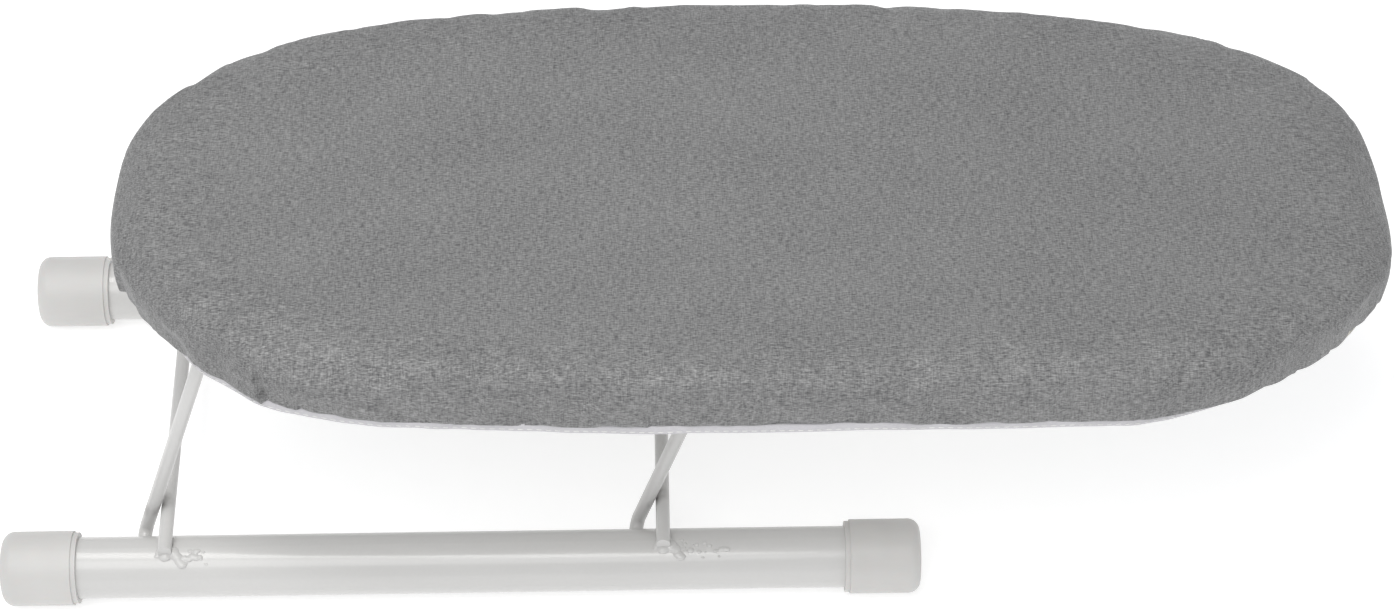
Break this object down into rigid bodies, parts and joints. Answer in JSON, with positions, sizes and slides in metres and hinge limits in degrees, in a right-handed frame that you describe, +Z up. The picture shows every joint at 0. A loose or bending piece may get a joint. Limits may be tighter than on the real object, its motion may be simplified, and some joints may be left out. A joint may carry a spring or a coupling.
{
  "type": "ironing board",
  "caption": "Table-top ironing board: long oval padded board in a grey fabric cover on two parallel swinging wire leg frames that fold flat over a base of foot tubes.",
  "frame": {"origin": "under the middle of the whole object's box, on the surface that the end caps stand on", "axes": "+X along the board towards its free, overhanging end; +Y to the back; +Z up, out of the ironing surface"},
  "size_m": [0.4851, 0.1862, 0.14],
  "materials": {
    "grey_fabric": "fine melange weave with a faint silver sheen",
    "white_binding": "folded woven tape",
    "white_elastic": "braided elastic",
    "pad_foam": "open foam with felt face",
    "white_powder_coat": "satin powder coat",
    "white_wire_coat": "satin powder coat on drawn wire",
    "coated_weld": "rough weld under powder coat",
    "white_cap_plastic": "moulded polyethylene, satin",
    "zinc_plate": "bright zinc plate"
  },
  "bodies": {
    "base": {"front_foot_tube": "white_powder_coat", "rear_foot_tube": "white_powder_coat", "front_left_end_cap": "white_cap_plastic", "front_right_end_cap": "white_cap_plastic", "rear_left_end_cap": "white_cap_plastic", "rear_right_end_cap": "white_cap_plastic", "left_cross_wire": "white_wire_coat", "right_cross_wire": "white_wire_coat", "weld_beads": "coated_weld"},
    "left_leg": {"left_leg_frame": "white_wire_coat"},
    "right_leg": {"right_leg_frame": "white_wire_coat"},
    "deck": {"deck_panel": "white_powder_coat", "rim_band": "white_powder_coat", "front_left_saddle_clip": "zinc_plate", "rear_left_saddle_clip": "zinc_plate", "front_right_saddle_clip": "zinc_plate", "rear_right_saddle_clip": "zinc_plate", "clip_rivets": "zinc_plate", "foam_pad": "pad_foam", "fabric_cover": "grey_fabric", "hem_binding": "white_binding", "elastic_cord": "white_elastic"}
  },
  "joints": [
    {"name": "left_leg_swing", "type": "hinge", "parent": "base", "child": "left_leg", "pos_m": [-0.1935, 0, 0.0133], "axis": [0, -1, 0], "range_deg": [0, 94.5]},
    {"name": "right_leg_swing", "type": "hinge", "parent": "base", "child": "right_leg", "pos_m": [-0.0169, 0, 0.0133], "axis": [0, -1, 0], "range_deg": [0, 94.5]},
    {"name": "deck_pivot", "type": "hinge", "parent": "left_leg", "child": "deck", "pos_m": [-0.15796, 0, 0.1267], "axis": [0, -1, 0], "range_deg": [-94.5, 0]}
  ],
  "couplings": [
    {"joint": "right_leg_swing", "follows": "left_leg_swing", "ratio": 1},
    {"joint": "deck_pivot", "follows": "left_leg_swing", "ratio": -1}
  ]
}
